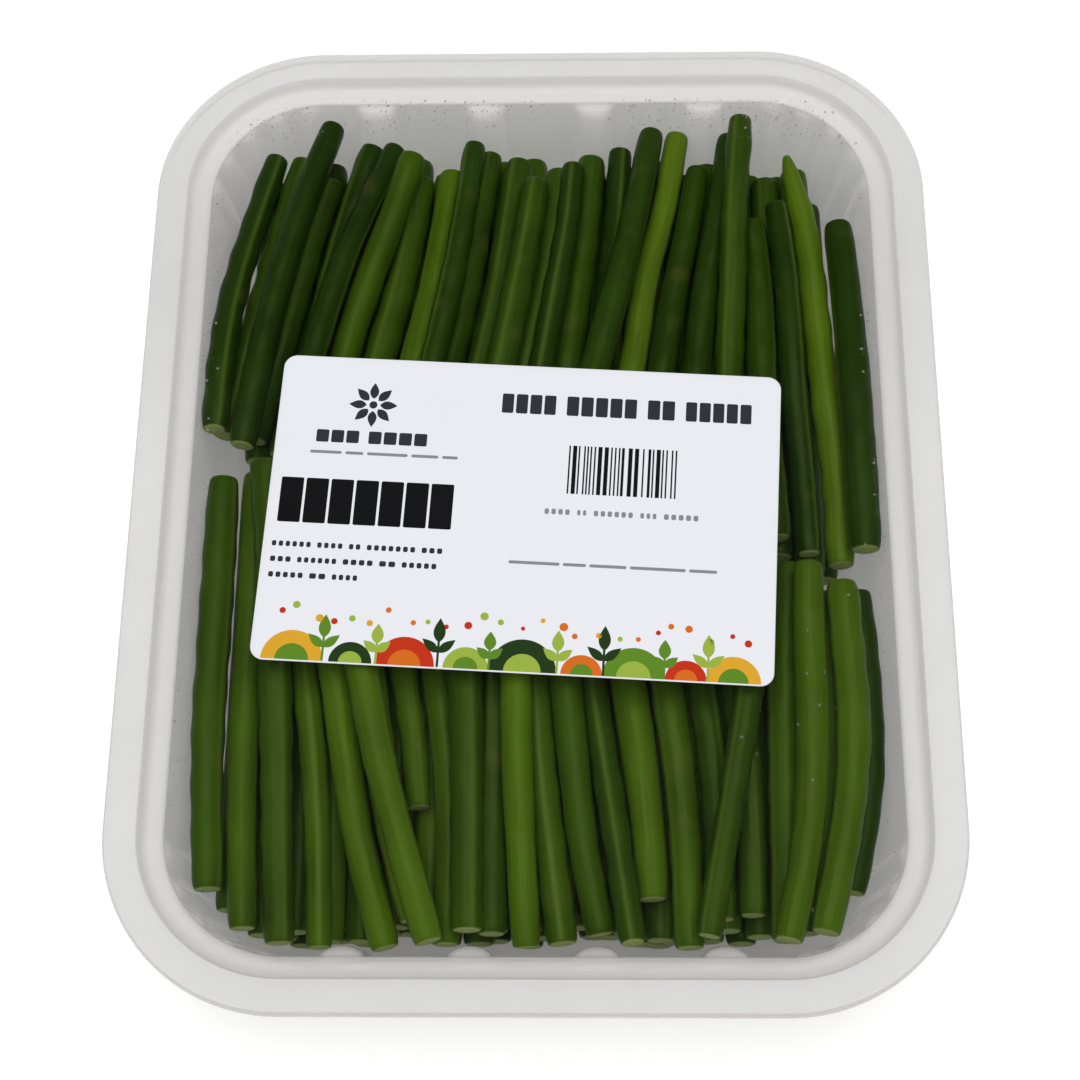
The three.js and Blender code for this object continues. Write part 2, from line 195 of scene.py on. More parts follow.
def tray_section():
    """The shell's section from the middle of the underside, over the rim, to the middle inside."""
    ledge = TRAY_HEIGHT - LEDGE_DROP
    stations = [
        (PANEL_INSET + 10, PANEL_RISE, 0),
        (PANEL_INSET + 1.5, PANEL_RISE, 0),
        (PANEL_INSET, 0, 0),
        (FOOT_INSET, 0, 0),
        (BASE_INSET, 2.2, 0),
        (wall_inset(FLUTE_FOOT) - WALL, FLUTE_FOOT, 1),
        (wall_inset(FLUTE_TOP) - WALL, FLUTE_TOP, 1),
        (LEDGE_INSET, ledge - WALL - 0.8, 0),
        (RIM_FACE + 1.1 - 0.75 * WALL, ledge - WALL, 0),
        (RIM_FACE - 0.75 * WALL, TRAY_HEIGHT - WALL, 0),
        (WALL, TRAY_HEIGHT - WALL, 0),
        (WALL, TRAY_HEIGHT - SKIRT_DROP, 0),
        (0, TRAY_HEIGHT - SKIRT_DROP, 0),
        (0, TRAY_HEIGHT - 0.5, 0),
        (0.5, TRAY_HEIGHT, 0),
        (RIM_FACE, TRAY_HEIGHT, 0),
        (RIM_FACE + 1.1, ledge, 0),
        (LEDGE_INSET + WALL, ledge - 0.2, 0),
        (LEDGE_INSET + WALL + 0.1, FLUTE_TOP + 2, 0),
        (wall_inset(FLUTE_TOP + 0.5), FLUTE_TOP + 0.5, 1),
        (wall_inset(FLUTE_FOOT - 0.9), FLUTE_FOOT - 0.9, 1),
        (BASE_INSET + 2 * WALL, 2.4, 0),
        (FOOT_INSET + 0.4, WALL, 0),
        (PANEL_INSET - 0.4, WALL, 0),
        (PANEL_INSET + 1.2, PANEL_RISE + WALL, 0),
        (PANEL_INSET + 10, PANEL_RISE + WALL, 0),
    ]
    for _ in range(2):
        smoother = [stations[0]]
        for a, b in zip(stations, stations[1:]):
            smoother.append(tuple(0.75 * p + 0.25 * q for p, q in zip(a, b)))
            smoother.append(tuple(0.25 * p + 0.75 * q for p, q in zip(a, b)))
        stations = smoother + [stations[-1]]
    return stations


def mesh_object(name, points, faces, materials, smooth=True):
    """A finished piece at the origin, with its place in its mesh."""
    mesh = bpy.data.meshes.new(name)
    mesh.from_pydata([tuple(c * MM for c in p) for p in points], [], faces)
    mesh.shade_smooth() if smooth else mesh.shade_flat()
    for material in materials:
        mesh.materials.append(material)
    piece = bpy.data.objects.new(name, mesh)
    bpy.context.scene.collection.objects.link(piece)
    return piece


def lofted(rings):
    """Points and faces of a closed skin through rings of equally many points."""
    count = len(rings[0])
    faces = []
    for r in range(len(rings) - 1):
        for i in range(count):
            a = r * count + i
            b = r * count + (i + 1) % count
            faces.append((a, b, b + count, a + count))
    last = (len(rings) - 1) * count
    faces.append(tuple(reversed(range(count))))
    faces.append(tuple(range(last, last + count)))
    return [p for ring in rings for p in ring], faces


milky_plastic = grained(
    "milky polypropylene",
    (0.67, 0.652, 0.622),
    0.2,
    alpha=0.5,
    cloud=25,
    grain=1400,
    contrast=0.06,
    bump=0.1,
)
outline = tray_outline()
tray_rings = []
for inset, z, share in tray_section():
    ring = []
    for cx, cy, ox, oy, push in outline:
        r = TRAY_CORNER - inset - share * push
        ring.append((cx + ox * r, cy + oy * r, z))
    tray_rings.append(ring)
tray = mesh_object("moulded_tray", *lofted(tray_rings), [milky_plastic])
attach(tray, "root")
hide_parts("tray")

# Beans
# Fine green beans, topped and tailed, lie in two rows end to end. Each pod is a little oval,
# with a seam along its top and its bottom and a faint swelling over each seed, and its cut
# ends show the paler flesh.
BEAN_SIDES = 7
POD_FULLNESS = 0.95
TONE_SPREAD = 0.22
TIP_TONE = 0.85
TIP_SHARE = 0.3
SEED_SPACING = 10.5
CAP_STEPS = ((0.0, 0.03), (0.02, 0.35), (0.06, 0.6), (0.14, 0.76), (0.3, 0.845))
SHOULDER_STEPS = ((0.6, 0.89), (1.1, 0.925), (1.8, 0.96), (2.8, 0.985), (4.2, 1.0))


def pod_line(node):
    """Centres and radii, in mm, of the rings of points that a bean's solid is made of."""
    cloud = np.array(sorted({tuple(round(c / MM, 3) for c in v.co) for v in node.data.vertices}))
    middle = cloud.mean(axis=0)
    axis = np.linalg.svd(cloud - middle, full_matrices=False)[2][0]
    rings = cloud[np.argsort((cloud - middle) @ axis)].reshape(-1, BEAN_SIDES, 3)
    centres = rings.mean(axis=1)
    radii = np.linalg.norm(rings - centres[:, None], axis=2).mean(axis=1)
    radii[0], radii[-1] = radii[1], radii[-2]
    if centres[0][1] > centres[-1][1]:
        return centres[::-1], radii[::-1]
    return centres, radii


def smooth_path(centres, radii, inner, tip):
    """Stations along a curve through the centres, close at its cut ends, and thinner over a tip."""
    gaps = np.linalg.norm(np.diff(centres, axis=0), axis=1)
    at = np.concatenate([[0], np.cumsum(gaps)])
    length = at[-1]
    ends = CAP_STEPS + SHOULDER_STEPS
    distances = [d for d, _ in ends]
    shares = [s for _, s in ends]
    middle = list(np.linspace(distances[-1], length - distances[-1], inner)[1:-1])
    stations = np.array(distances + middle + [length - d for d in reversed(distances)])
    shares = np.array(shares + [1.0] * len(middle) + shares[::-1])
    slopes = np.gradient(centres, at, axis=0)
    index = np.clip(np.searchsorted(at, stations, side="right") - 1, 0, len(at) - 2)
    span = at[index + 1] - at[index]
    t = ((stations - at[index]) / span)[:, None]
    span = span[:, None]
    a, b = centres[index], centres[index + 1]
    path = (
        (2 * t**3 - 3 * t**2 + 1) * a
        + (t**3 - 2 * t**2 + t) * span * slopes[index]
        + (3 * t**2 - 2 * t**3) * b
        + (t**3 - t**2) * span * slopes[index + 1]
    )
    girth = np.interp(stations, at, radii) * POD_FULLNESS
    if tip:
        girth *= np.clip(TIP_SHARE + (1 - TIP_SHARE) * ((length - stations) / tip) ** 0.7, 0.0, 1.0)
    return path, girth, stations, shares


def pod_tree():
    """Sweeps a round section along each line, and raises the seams, the seeds and slight dents."""
    tree = bpy.data.node_groups.new("bean pods", "GeometryNodeTree")
    face = tree.interface
    face.new_socket("Geometry", in_out="INPUT", socket_type="NodeSocketGeometry")
    face.new_socket("Sides", in_out="INPUT", socket_type="NodeSocketInt")
    for name in ("Seed Spacing", "Seed Rise", "Seam Rise", "Flatness", "Dents"):
        face.new_socket(name, in_out="INPUT", socket_type="NodeSocketFloat")
    face.new_socket("Skin", in_out="INPUT", socket_type="NodeSocketMaterial")
    face.new_socket("Geometry", in_out="OUTPUT", socket_type="NodeSocketGeometry")
    given = tree.nodes.new("NodeGroupInput").outputs

    def named(name, kind="FLOAT"):
        return add_node(tree, "GeometryNodeInputNamedAttribute", {"Name": name}, data_type=kind).outputs[0]

    lines = add_node(tree, "GeometryNodeMeshToCurve", {"Mesh": given["Geometry"]}).outputs[0]
    spine = tree.nodes.new("GeometryNodeInputPosition").outputs[0]
    lines = add_node(
        tree,
        "GeometryNodeStoreNamedAttribute",
        {"Geometry": lines, "Name": "spine", "Value": spine},
        data_type="FLOAT_VECTOR",
        domain="POINT",
    ).outputs[0]
    ring = add_node(
        tree, "GeometryNodeCurvePrimitiveCircle", {"Resolution": given["Sides"], "Radius": 1.0}
    ).outputs[0]
    turn = tree.nodes.new("GeometryNodeSplineParameter").outputs["Factor"]
    ring = add_node(
        tree,
        "GeometryNodeStoreNamedAttribute",
        {"Geometry": ring, "Name": "around", "Value": turn},
        data_type="FLOAT",
        domain="POINT",
    ).outputs[0]
    pods = add_node(
        tree,
        "GeometryNodeCurveToMesh",
        {"Curve": lines, "Profile Curve": ring, "Scale": named("girth"), "Fill Caps": True},
    ).outputs[0]

    # Round the pod, 0 is one flat side and 0.25 the upper seam.
    angle = maths(tree, "MULTIPLY", maths(tree, "ADD", named("around"), named("turn")), 2 * math.pi)
    flat = maths(tree, "ABSOLUTE", maths(tree, "COSINE", angle))
    seam = maths(tree, "POWER", maths(tree, "ABSOLUTE", maths(tree, "SINE", angle)), 18.0)
    phase = maths(
        tree, "ADD", maths(tree, "DIVIDE", named("along"), given["Seed Spacing"]), named("tone")
    )
    seed = maths(tree, "POWER", maths(tree, "SINE", maths(tree, "MULTIPLY", phase, math.pi)), 2.0)
    dents = add_node(
        tree,
        "ShaderNodeTexNoise",
        {"Vector": named("spine", "FLOAT_VECTOR"), "Scale": 130.0, "Detail": 1.0},
    ).outputs["Fac"]
    rise = maths(tree, "MULTIPLY", maths(tree, "MULTIPLY", seed, flat), given["Seed Rise"])
    rise = maths(tree, "ADD", rise, maths(tree, "MULTIPLY", seam, given["Seam Rise"]))
    rise = maths(tree, "SUBTRACT", rise, maths(tree, "MULTIPLY", flat, given["Flatness"]))
    dent = maths(tree, "MULTIPLY", maths(tree, "SUBTRACT", dents, 0.5), given["Dents"])
    rise = maths(tree, "ADD", rise, dent)
    place = tree.nodes.new("GeometryNodeInputPosition").outputs[0]
    outward = add_node(
        tree,
        "ShaderNodeVectorMath",
        {0: place, 1: named("spine", "FLOAT_VECTOR")},
        operation="SUBTRACT",
    ).outputs[0]
    move = add_node(
        tree, "ShaderNodeVectorMath", {0: outward, "Scale": rise}, operation="SCALE"
    ).outputs[0]
    pods = add_node(tree, "GeometryNodeSetPosition", {"Geometry": pods, "Offset": move}).outputs[0]
    pods = add_node(tree, "GeometryNodeSetShadeSmooth", {"Geometry": pods}).outputs[0]
    pods = add_node(tree, "GeometryNodeRealizeInstances", {"Geometry": pods}).outputs[0]
    pods = add_node(
        tree, "GeometryNodeSetMaterial", {"Geometry": pods, "Material": given["Skin"]}
    ).outputs[0]
    tree.links.new(pods, tree.nodes.new("NodeGroupOutput").inputs[0])
    return tree


def bean_skin():
    """Waxy green skin, each pod a little lighter or darker, with pale flesh on its cut ends."""
    material = bpy.data.materials.new("green bean skin")
    material.use_nodes = True
    tree = material.node_tree
    shader = tree.nodes["Principled BSDF"]

    def attribute(name):
        return add_node(tree, "ShaderNodeAttribute", attribute_name=name).outputs["Fac"]

    def ramp(factor, *stops):
        node = add_node(tree, "ShaderNodeValToRGB", {"Fac": factor})
        while len(node.color_ramp.elements) < len(stops):
            node.color_ramp.elements.new(0.5)
        for element, (place, colour) in zip(node.color_ramp.elements, stops):
            element.position = place
            element.color = (*colour, 1)
        return node.outputs["Color"]

    def blend(factor, first, second, mode="MIX"):
        node = add_node(tree, "ShaderNodeMix", data_type="RGBA", blend_type=mode)
        for socket, value in ((0, factor), (6, first), (7, second)):
            if isinstance(value, bpy.types.NodeSocket):
                tree.links.new(value, node.inputs[socket])
            else:
                node.inputs[socket].default_value = value
        return node.outputs[2]

    coords = tree.nodes.new("ShaderNodeTexCoord").outputs["Object"]
    along, around, tone, share = (attribute(n) for n in ("along", "around", "tone", "share"))
    skin = ramp(
        tone,
        (0.0, (0.010, 0.030, 0.0008)),
        (0.4, (0.030, 0.066, 0.0016)),
        (0.75, (0.060, 0.118, 0.003)),
        (1.0, (0.095, 0.155, 0.006)),
    )
    # Fine streaks run along the pod, and broad clouds cross it.
    streak_at = add_node(
        tree,
        "ShaderNodeCombineXYZ",
        {"X": maths(tree, "MULTIPLY", along, 60.0), "Y": maths(tree, "MULTIPLY", around, 26.0)},
    )
    tree.links.new(maths(tree, "MULTIPLY", tone, 40.0), streak_at.inputs["Z"])
    streaks = add_node(
        tree, "ShaderNodeTexNoise", {"Vector": streak_at.outputs[0], "Scale": 1.0, "Detail": 2.0}
    ).outputs["Fac"]
    clouds = add_node(
        tree, "ShaderNodeTexNoise", {"Vector": coords, "Scale": 45.0, "Detail": 1.0}
    ).outputs["Fac"]
    light = maths(tree, "ADD", maths(tree, "MULTIPLY", streaks, 0.7), maths(tree, "MULTIPLY", clouds, 0.9))
    light = maths(tree, "ADD", light, 0.2)
    skin = add_node(tree, "ShaderNodeVectorMath", {0: skin, 1: light}, operation="MULTIPLY").outputs[0]
    # The seams are a thin paler line.
    angle = maths(tree, "MULTIPLY", maths(tree, "ADD", around, attribute("turn")), 2 * math.pi)
    seam = maths(tree, "POWER", maths(tree, "ABSOLUTE", maths(tree, "SINE", angle)), 60.0)
    skin = blend(maths(tree, "MULTIPLY", seam, 0.35), skin, (0.11, 0.17, 0.02, 1))
    # A few yellow and brown scuffs
    scuffs = add_node(
        tree, "ShaderNodeTexNoise", {"Vector": coords, "Scale": 110.0, "Detail": 1.0}
    ).outputs["Fac"]
    scuffs = maths(tree, "MULTIPLY", maths(tree, "SUBTRACT", scuffs, 0.66), 9.0, clamp=True)
    skin = blend(maths(tree, "MULTIPLY", scuffs, 0.22), skin, (0.10, 0.09, 0.02, 1))
    # The cut face: a green rind, paler flesh and a soft middle
    flesh = ramp(
        share,
        (0.0, (0.33, 0.38, 0.13)),
        (0.4, (0.24, 0.31, 0.08)),
        (0.72, (0.30, 0.36, 0.12)),
        (0.83, (0.09, 0.15, 0.02)),
    )
    cut = maths(tree, "LESS_THAN", share, 0.85)
    colour = blend(cut, skin, flesh)
    tree.links.new(colour, shader.inputs["Base Color"])
    rough = maths(tree, "ADD", 0.26, maths(tree, "MULTIPLY", clouds, 0.2))
    tree.links.new(maths(tree, "ADD", rough, maths(tree, "MULTIPLY", cut, 0.2)), shader.inputs["Roughness"])
    height = maths(tree, "ADD", streaks, maths(tree, "MULTIPLY", scuffs, -0.5))
    relief = add_node(tree, "ShaderNodeBump", {"Strength": 0.2, "Distance": 0.0002, "Height": height})
    tree.links.new(relief.outputs["Normal"], shader.inputs["Normal"])
    shader.inputs["Specular IOR Level"].default_value = 0.13
    shader.inputs["Specular Tint"].default_value = (0.75, 1.0, 0.35, 1)
    return material


POD_TREE = pod_tree()
green_skin = bean_skin()


def pods(name, lines, sides, inner, seed, lightness, tips=None, **relief):
    """One mesh of all the pods that follow the given centre lines, some with their tips left on."""
    draw = random.Random(seed)
    places, edges, facts = [], [], {"girth": [], "share": [], "along": [], "tone": [], "turn": []}
    for place, (centres, radii) in enumerate(lines):
        tip = (tips or {}).get(place, 0)
        path, girth, stations, shares = smooth_path(centres, radii, inner, tip)
        first = len(places)
        places.extend(tuple(p * MM) for p in path)
        edges.extend((first + i, first + i + 1) for i in range(len(path) - 1))
        tone = min(1.0, max(0.0, draw.gauss(lightness, TONE_SPREAD)))
        turn = draw.random()
        if tip:
            tone = TIP_TONE
        facts["girth"].extend(girth * shares * MM)
        facts["share"].extend(shares)
        facts["along"].extend(stations * MM)
        facts["tone"].extend([tone] * len(path))
        facts["turn"].extend([turn] * len(path))
    mesh = bpy.data.meshes.new(name + "_lines")
    mesh.from_pydata(places, edges, [])
    for fact, values in facts.items():
        mesh.attributes.new(fact, "FLOAT", "POINT").data.foreach_set("value", values)
    holder = bpy.data.objects.new(name + "_lines", mesh)
    bpy.context.scene.collection.objects.link(holder)
    modifier = holder.modifiers.new("pods", "NODES")
    modifier.node_group = POD_TREE
    values = {"Sides": sides, "Skin": green_skin, "Seed Spacing": SEED_SPACING * MM, **relief}
    for item in POD_TREE.interface.items_tree:
        if item.in_out == "INPUT" and item.name in values:
            modifier[item.identifier] = values[item.name]
    depsgraph = bpy.context.evaluated_depsgraph_get()
    made = bpy.data.meshes.new_from_object(holder.evaluated_get(depsgraph))
    made.name = name
    bpy.data.objects.remove(holder)
    for spare in ("girth", "spine"):
        if spare in made.attributes:
            made.attributes.remove(made.attributes[spare])
    piece = bpy.data.objects.new(name, made)
    bpy.context.scene.collection.objects.link(piece)
    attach(piece, "root")
    return piece


# One pod of the far row keeps its thin tip.
TIPPED_POD = "bean_far_25"
TIP_LENGTH = 16

# The far row's mean tone is set much darker than the near row's. This is painted shade for the lesser light
# on the far beans.
for row, seed, lightness in (("far", 11, 0.13), ("near", 29, 0.53)):
    names = sorted(n for n in nodes if n.startswith(f"bean_{row}_"))
    lines = [pod_line(nodes[n]) for n in names]
    piece = pods(
        f"{row}_beans",
        lines,
        sides=20,
        inner=44,
        seed=seed,
        lightness=lightness,
        tips={i: TIP_LENGTH for i, n in enumerate(names) if n == TIPPED_POD},
        **{"Seed Rise": 0.09, "Seam Rise": 0.035, "Flatness": 0.03, "Dents": 0.12},
    )
    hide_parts(*names)

# Lower beans
# The beans under the ones that show lie side by side down to the tray's base, in three layers.
# They are the same pods, and are seen only in gaps and dimly through the tray's wall.
BED_BEANS = 19
BED_PITCH = 7
BED_RADIUS = 3.6
BED_SIDES = 6
BED_STAGGER = 0.25
CUT_SETBACK = 2


def bed_lines(node, stagger):
    """Centres and radii, in mm, of each bean of a fused row, whose beans lie side by side along X."""
    cloud = np.array(sorted({tuple(round(c / MM, 3) for c in v.co) for v in node.data.vertices}))
    top, low = cloud[:, 2].max(), cloud[:, 2].min()
    under = cloud[cloud[:, 2] < low + 0.35]
    lines = []
    for j in range(BED_BEANS):
        x = (j - (BED_BEANS - 1) / 2 + stagger) * BED_PITCH
        own = under[np.abs(np.abs(under[:, 0] - x) - BED_RADIUS / 2) < 0.3]
        ends = own[:, 1].min() - CUT_SETBACK, own[:, 1].max() + CUT_SETBACK
        path = np.array([(x, y, (top + low) / 2) for y in np.linspace(*ends, 6)])
        lines.append((path, np.full(len(path), (top - low) / 2 / math.cos(math.pi / BED_SIDES))))
    return lines


bed_names = sorted(n for n in nodes if n.startswith("bed_"))
bed = []
for bed_name in bed_names:
    stagger = BED_STAGGER if bed_name.endswith("2") else -BED_STAGGER
    bed += bed_lines(nodes[bed_name], stagger)
piece = pods(
    "lower_beans",
    bed,
    sides=12,
    inner=14,
    seed=47,
    lightness=0.3,
    **{"Seed Rise": 0.05, "Seam Rise": 0.0, "Flatness": 0.02, "Dents": 0.08},
)
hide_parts(*bed_names)

# Film
# A clear film, a few hundredths of a millimetre thick, is welded flat to the rim all round.
# It is taut, with faint ripples where it leaves the weld, and breath from the beans has
# settled on its underside as fine drops.
FILM_FOOT = TRAY_HEIGHT + 0.1
FILM_THICK = 0.12
WELD_WIDTH = 6.6
SHEET_CORNERS = ((1, 1), (-1, 1), (-1, -1), (1, -1))
LEAST_ROUNDING = 0.2
RIPPLE_RISE = 0.16
SLACK = 0.05


def round_sheet(width, length, corner, insets, steps=20):
    """Loops of a round-cornered rectangle at the given distances in from its edge."""
    loops = []
    for inset in insets:
        radius = max(corner - inset, min(corner, LEAST_ROUNDING))
        x = max(width / 2 - inset - radius, 0.0)
        y = max(length / 2 - inset - radius, 0.0)
        loop = []
        for k, (sx, sy) in enumerate(SHEET_CORNERS):
            for i in range(steps + 1):
                a = (k + i / steps) * math.pi / 2
                loop.append((sx * x + radius * math.cos(a), sy * y + radius * math.sin(a)))
            from_x, from_y = loop[-1]
            next_x, next_y = SHEET_CORNERS[(k + 1) % 4]
            for i in range(1, steps):
                t = i / steps
                loop.append((from_x + t * (next_x - sx) * x, from_y + t * (next_y - sy) * y))
        loops.append(loop)
    return loops


clear_film = grained(
    "clear lid film", (0.03, 0.032, 0.035), 0.06, alpha=0.012, cloud=18, detail=0, contrast=0.2, bump=0
)
welded_film = grained("welded film", (0.9, 0.905, 0.905), 0.12, alpha=0.3, cloud=60, contrast=0.1, bump=0.05)
film_insets = [0.0, 0.2, 3.3, WELD_WIDTH - 0.4, WELD_WIDTH]
film_insets += [8, 10, 12.5, 15, 18, 22, 27, 33, 40, 48, 57, 66, 76, 85]
film_loops = round_sheet(TRAY_WIDTH - 1, TRAY_LENGTH - 1, TRAY_CORNER - 0.5, film_insets)


def film_lift(x, y, inset):
    """How far the film's slack and ripples lift it from flat."""
    free = min(max((inset - WELD_WIDTH) / 10, 0.0), 1.0)
    ripple = noise.noise(Vector((x * 0.045, y * 0.045, 3.0)))
    ripple += 0.5 * noise.noise(Vector((x * 0.11, y * 0.11, 9.0)))
    return RIPPLE_RISE * free * ripple - SLACK * free


film_rings = []
for inset, loop in zip(reversed(film_insets), reversed(film_loops)):
    film_rings.append([(x, y, FILM_FOOT + film_lift(x, y, inset)) for x, y in loop])
for inset, loop in zip(film_insets, film_loops):
    film_rings.append([(x, y, FILM_FOOT + FILM_THICK + film_lift(x, y, inset)) for x, y in loop])
film = mesh_object("lid_film", *lofted(film_rings), [clear_film, welded_film])
loop_length = len(film_loops[0])
ring_insets = film_insets[::-1] + film_insets
for polygon in film.data.polygons:
    first_ring = min(polygon.vertices) // loop_length
    on_weld = len(polygon.vertices) == 4 and max(ring_insets[first_ring : first_ring + 2]) <= WELD_WIDTH
    polygon.material_index = 1 if on_weld else 0
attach(film, "root")
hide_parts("film")

# Label
# A white paper label with round corners is stuck on the film, turned a few degrees. It is cut
# from thin coated paper, and lies a little uneven where the film gives way under it.
LABEL_WIDTH = 111
LABEL_LENGTH = 72
LABEL_CORNER = 3
LABEL_CENTRE = (-3.2, -6.4)
LABEL_TURN = math.radians(-3.3)
LABEL_FOOT = TRAY_HEIGHT + 0.45
LABEL_THICK = 0.2

paper = grained(
    "label paper", (0.86, 0.875, 0.92), 0.5, gloss=0.25, cloud=30, grain=2500, contrast=0.03, bump=0.15
)


def on_label(u, v, lift):
    """A point u right of and v above the label's middle, lift above the paper's underside."""
    c, s = math.cos(LABEL_TURN), math.sin(LABEL_TURN)
    sway = 0.1 * noise.noise(Vector((u * 0.03, v * 0.03, 5.0)))
    return (
        LABEL_CENTRE[0] + u * c - v * s,
        LABEL_CENTRE[1] + u * s + v * c,
        LABEL_FOOT + sway * 0.5 + lift,
    )


label_insets = [0.08, 0.0, 0.0, 0.08, 1.5, 3, 6, 10, 15, 20, 26, 32, 35.5]
label_lifts = [0.0, 0.04, LABEL_THICK - 0.04] + [LABEL_THICK] * 10
loops = round_sheet(LABEL_WIDTH, LABEL_LENGTH, LABEL_CORNER, label_insets, 12)
under = round_sheet(LABEL_WIDTH, LABEL_LENGTH, LABEL_CORNER, label_insets[:3:-1], 12)
label_rings = [[on_label(u, v, 0.0) for u, v in loop] for loop in under]
label_rings += [[on_label(u, v, lift) for u, v in loop] for lift, loop in zip(label_lifts, loops)]
label = mesh_object("paper_label", *lofted(label_rings), [paper])
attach(label, "root")
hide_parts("label")

# Print
# The print is thin ink on the paper: rows of thick and of thin bars in short cells, a block of
# stripes, a rule, a plain rosette, and a border of half rounds, leaves and dots.
INK_THICK = 0.02
INK_DEPTH = 0.03
LAYER_STEP = 0.006


def bar(u, v, width, height, corner=0.35):
    """The outline of a bar with round corners, from u on and with v at mid height."""
    corner = min(corner, width / 2.01, height / 2.01)
    loop = round_sheet(width, height, corner, [0.0], 3)[0]
    kept = []
    for x, y in loop:
        if not kept or math.hypot(x - kept[-1][0], y - kept[-1][1]) > 0.01:
            kept.append((x, y))
    return [(u + width / 2 + x, v + y) for x, y in kept]


def disc(u, v, radius, sides=28):
    turns = [i / sides * 2 * math.pi for i in range(sides)]
    return [(u + radius * math.cos(a), v + radius * math.sin(a)) for a in turns]


def half_round(u, v, radius, sides=28):
    turns = [i / sides * math.pi for i in range(sides + 1)]
    return [(u + radius * math.cos(a), v + radius * math.sin(a)) for a in turns]


def leaf(u, v, length, width, degrees, steps=9):
    """The outline of a leaf that grows from u, v the given way."""
    turn = math.radians(degrees)
    spread = [math.sin(math.pi * (i / steps) ** 0.8) for i in range(steps + 1)]
    side = [(length * i / steps, width / 2 * w) for i, w in enumerate(spread)]
    around = [(a, -b) for a, b in side] + [(a, b) for a, b in reversed(side[1:-1])]
    return [
        (u + a * math.cos(turn) - b * math.sin(turn), v + a * math.sin(turn) + b * math.cos(turn))
        for a, b in around
    ]


INKS = {
    "black": (0.006, 0.006, 0.007),
    "slate": (0.032, 0.034, 0.042),
    "grey": (0.26, 0.27, 0.3),
    "red": (0.58, 0.035, 0.01),
    "orange": (0.72, 0.16, 0.015),
    "amber": (0.76, 0.4, 0.03),
    "leaf green": (0.12, 0.26, 0.02),
    "lime": (0.34, 0.47, 0.06),
    "deep green": (0.018, 0.045, 0.01),
}
ink_names = list(INKS)
shapes = []
print_draw = random.Random(8)


def bar_row(ink, u, v, height, widths, gap, cell=0.0):
    """A row of bars from u on, each cut into cells where a cell width is given."""
    for width in widths:
        count = max(1, round(width / cell)) if cell else 1
        step = width / count
        for i in range(count):
            shapes.append((ink, 0, bar(u + i * step, v, step - (0.55 if count > 1 else 0.0), height)))
        u += width + gap


bar_row("slate", -46.5, 16.6, 3.0, (10, 13.5), 1.6, 3.3)
bar_row("grey", -47.5, 12.7, 0.7, (7, 4, 9, 6, 3.5), 0.8)
bar_row("black", -53.0, 1.0, 10.6, (38.5,), 0, 5.5)
for v, widths in ((-9.4, (9, 6, 3, 11, 5)), (-13.0, (5, 9, 7, 4, 8)), (-16.6, (8, 4, 6))):
    bar_row("slate", -53.5, v, 1.25, widths, 0.9, 1.6)
bar_row("slate", -6.0, 26.6, 4.7, (12.5, 16, 6.5, 15), 1.9, 3.1)
bar_row("grey", 5.0, 1.2, 1.3, (6, 2.5, 9, 4, 8), 1.1, 1.5)
u = 9.5
while u < 33.5:
    width = print_draw.choice((0.35, 0.35, 0.6, 0.9))
    shapes.append(("black", 0, bar(u, 11.3, width, 11.5, 0.02)))
    u += width + print_draw.choice((0.35, 0.5, 0.85))
bar_row("grey", -2.0, -11.0, 0.7, (11, 5, 8, 12, 6), 0.7)

rosette_u, rosette_v = -34.6, 24.6
for degrees in range(0, 360, 45):
    petal_u = rosette_u + 1.5 * math.cos(math.radians(degrees))
    petal_v = rosette_v + 1.5 * math.sin(math.radians(degrees))
    shapes.append(("slate", 0, leaf(petal_u, petal_v, 3.9, 2.0, degrees)))
shapes.append(("slate", 0, disc(rosette_u, rosette_v, 0.9)))

foot = -LABEL_LENGTH / 2 + 0.35
for u, radius, ink in (
    (-46.5, 6.6, "amber"),
    (-34.0, 4.6, "deep green"),
    (-22.5, 6.4, "red"),
    (-9.5, 4.8, "lime"),
    (2.5, 7.2, "deep green"),
    (15.0, 4.4, "orange"),
    (26.0, 6.6, "leaf green"),
    (37.0, 4.4, "red"),
    (47.0, 5.8, "amber"),
):
    shapes.append((ink, 0, half_round(u, foot, radius)))
    inner = "orange" if ink == "red" else "lime" if "green" in ink else "leaf green"
    shapes.append((inner, 1, half_round(u, foot, radius * 0.55)))
for u, tall, ink in (
    (-40.0, 10.5, "leaf green"),
    (-28.6, 9.0, "lime"),
    (-15.5, 11.0, "deep green"),
    (-4.6, 8.6, "leaf green"),
    (9.8, 9.6, "lime"),
    (19.6, 11.2, "deep green"),
    (32.4, 8.8, "leaf green"),
    (41.6, 10.4, "lime"),
):
    shapes.append((ink, 2, bar(u - 0.25, foot + tall * 0.3, 0.5, tall * 0.6)))
    shapes.append((ink, 3, leaf(u, foot + tall * 0.5, tall * 0.5, 2.6, 90)))
    for degrees in (40, 140):
        shapes.append((ink, 3, leaf(u, foot + tall * 0.3, tall * 0.42, 2.0, degrees)))
for i in range(26):
    u = -52 + 104 * (i + 0.5) / 26 + print_draw.uniform(-0.9, 0.9)
    v = foot + print_draw.uniform(8.4, 12.6)
    ink = print_draw.choice(("red", "orange", "amber", "lime"))
    shapes.append((ink, 3, disc(u, v, print_draw.uniform(0.45, 0.95), 14)))

